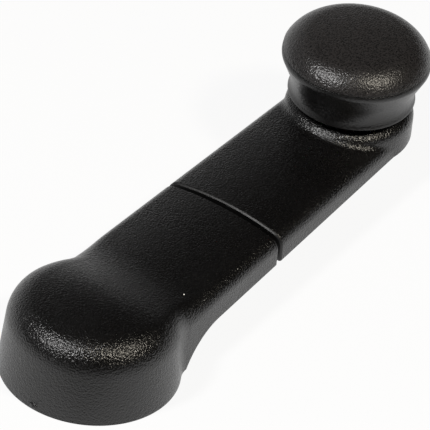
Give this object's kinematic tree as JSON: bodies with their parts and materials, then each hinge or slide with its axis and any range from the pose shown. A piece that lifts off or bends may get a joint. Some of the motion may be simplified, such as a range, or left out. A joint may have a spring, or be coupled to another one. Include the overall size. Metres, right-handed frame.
{
  "type": "window winder handle",
  "caption": "Black moulded crank handle for a car window: splined hub, slide-off hub cover and a mushroom knob that spins on a riveted spindle.",
  "frame": {"origin": "on the hub axis, in the plane of the hub's foot, at the mouth of the shaft socket", "axes": "+Z along the hub axis out of the door, +X along the arm towards the knob, +Y by the right-hand rule"},
  "size_m": [0.1413, 0.042, 0.0381],
  "materials": {
    "arm_plastic": "fine moulded grain, satin black",
    "cover_plastic": "fine moulded grain, satin black",
    "knob_plastic": "smooth satin black",
    "cap_plastic": "fine moulded grain, satin black",
    "cast_metal": "die cast, dull grey",
    "plated_steel": "zinc plated",
    "spindle_steel": "turned steel, lightly oiled",
    "spring_steel": "dark spring steel",
    "nylon": "natural nylon"
  },
  "bodies": {
    "crank": {"crank_arm": "arm_plastic", "splined_insert": "cast_metal", "retaining_screw": "plated_steel", "lock_washer": "spring_steel", "knob_spindle": "spindle_steel", "backing_washer": "plated_steel", "thrust_washer": "nylon", "cone_washer": "spring_steel"},
    "cover": {"hub_cover": "cover_plastic"},
    "knob": {"knob_body": "knob_plastic", "knob_cap": "cap_plastic"}
  },
  "joints": [
    {"name": "knob_spin", "type": "hinge", "parent": "crank", "child": "knob", "pos_m": [0.1025, 0, 0.0207], "axis": [0, 0, 1], "continuous": true},
    {"name": "cover_slide", "type": "slide", "parent": "crank", "child": "cover", "axis": [-1, 0, 0], "range_m": [0, 0.06]}
  ]
}
